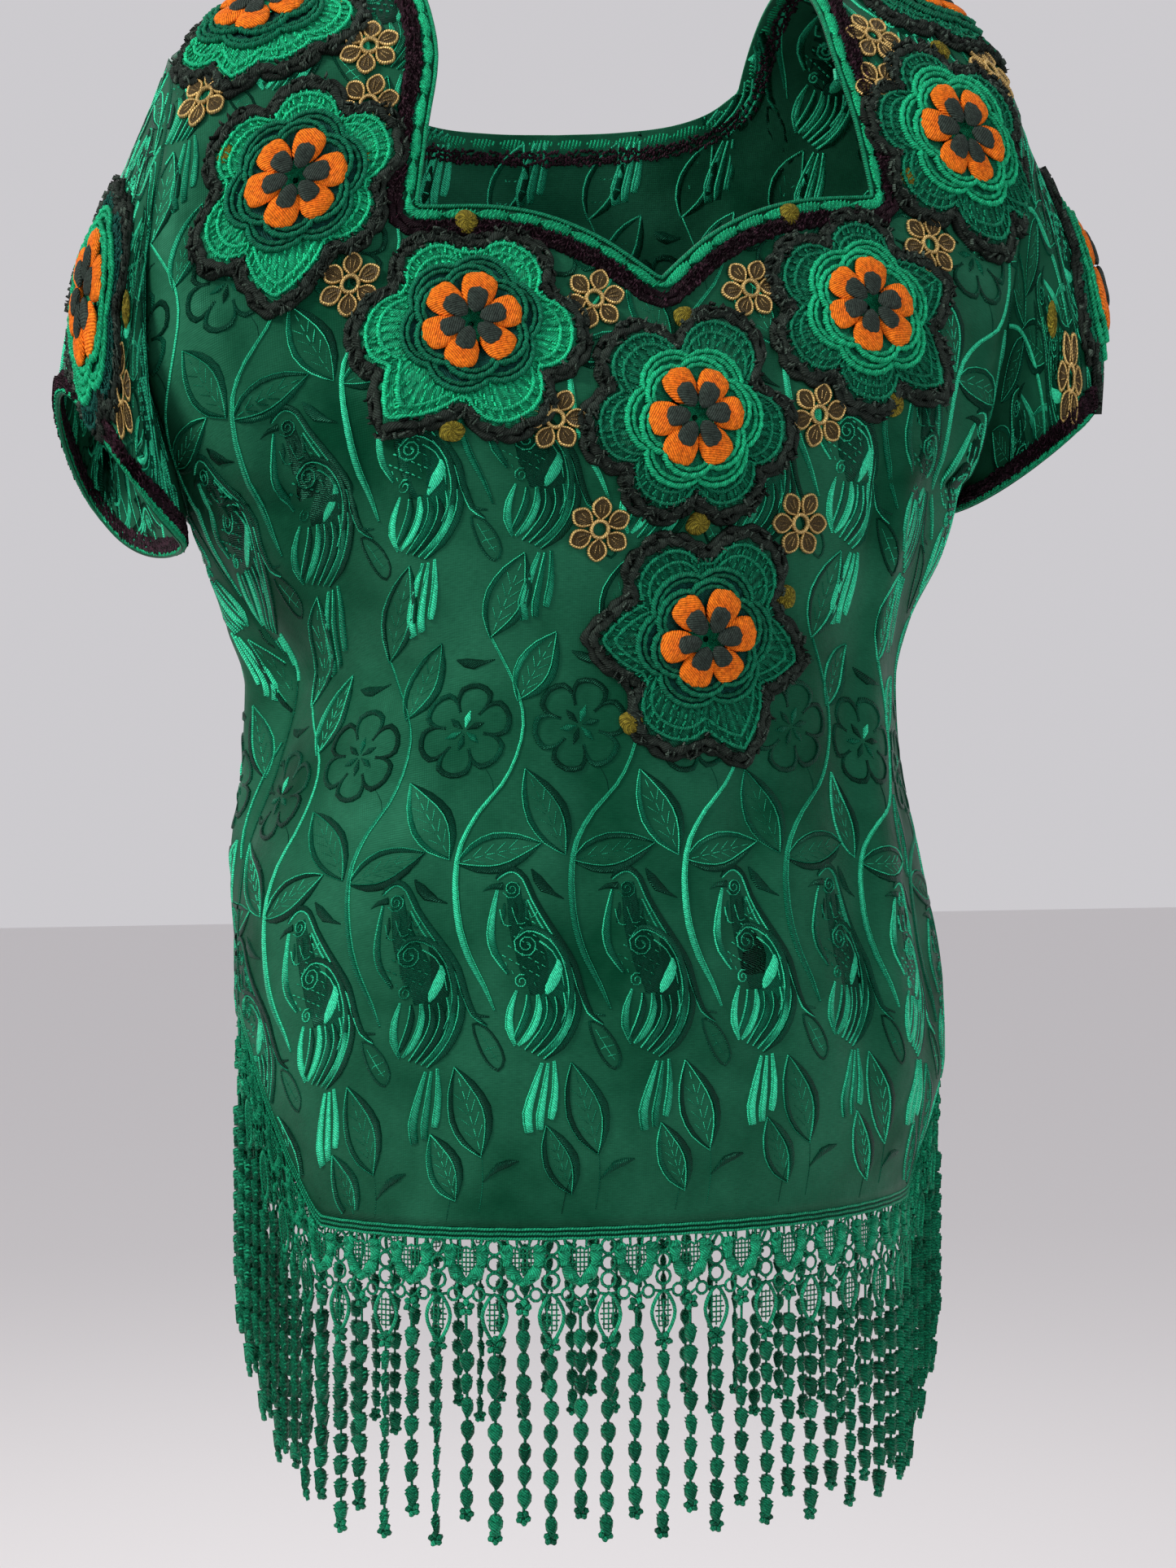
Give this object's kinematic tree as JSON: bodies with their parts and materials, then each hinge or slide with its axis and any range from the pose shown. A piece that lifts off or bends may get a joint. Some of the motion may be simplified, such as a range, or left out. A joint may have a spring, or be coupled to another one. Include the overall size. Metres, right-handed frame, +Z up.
{
  "type": "silk blouse",
  "caption": "Short-sleeved embroidered silk blouse with a sweetheart neckline, crochet flowers sewn on the yoke and sleeves, and a lace hem with a knotted fringe.",
  "frame": {"origin": "the middle of the neck, level with the top of the shoulder seams, where the wearer's shoulders carry the blouse", "axes": "+Z up, the front faces -Y, and -X is the wearer's right"},
  "size_m": [0.5905, 0.2718, 0.837],
  "materials": {
    "silk": "sheer crepe silk",
    "edging": "corded thread",
    "petals": "crocheted thread",
    "rosette": "crocheted thread",
    "gold": "metallic thread lace",
    "lace": "chemical lace"
  },
  "bodies": {
    "root": {"front": "silk", "back": "silk", "sleeve_right": "silk", "sleeve_left": "silk", "sleeve_edging_right": "edging", "sleeve_edging_left": "edging", "neck_edging_front": "edging", "neck_edging_back": "edging", "lace_front": "lace", "lace_back": "lace", "fringe_front": "lace", "fringe_back": "lace", "petals_shoulder_right": "petals", "petals_chest_right": "petals", "petals_bust_right": "petals", "petals_centre": "petals", "petals_low_centre": "petals", "petals_bust_left": "petals", "petals_chest_left": "petals", "petals_shoulder_left": "petals", "petals_sleeve_right": "petals", "petals_sleeve_left": "petals", "rosette_shoulder_right": "rosette", "rosette_chest_right": "rosette", "rosette_bust_right": "rosette", "rosette_centre": "rosette", "rosette_low_centre": "rosette", "rosette_bust_left": "rosette", "rosette_chest_left": "rosette", "rosette_shoulder_left": "rosette", "rosette_sleeve_right": "rosette", "rosette_sleeve_left": "rosette", "gold_01": "gold", "gold_02": "gold", "gold_03": "gold", "gold_04": "gold", "gold_05": "gold", "gold_06": "gold", "gold_07": "gold", "gold_08": "gold", "gold_09": "gold", "gold_10": "gold", "gold_11": "gold", "gold_12": "gold", "gold_13": "gold", "gold_14": "gold", "gold_15": "gold", "gold_16": "gold"}
  },
  "joints": []
}
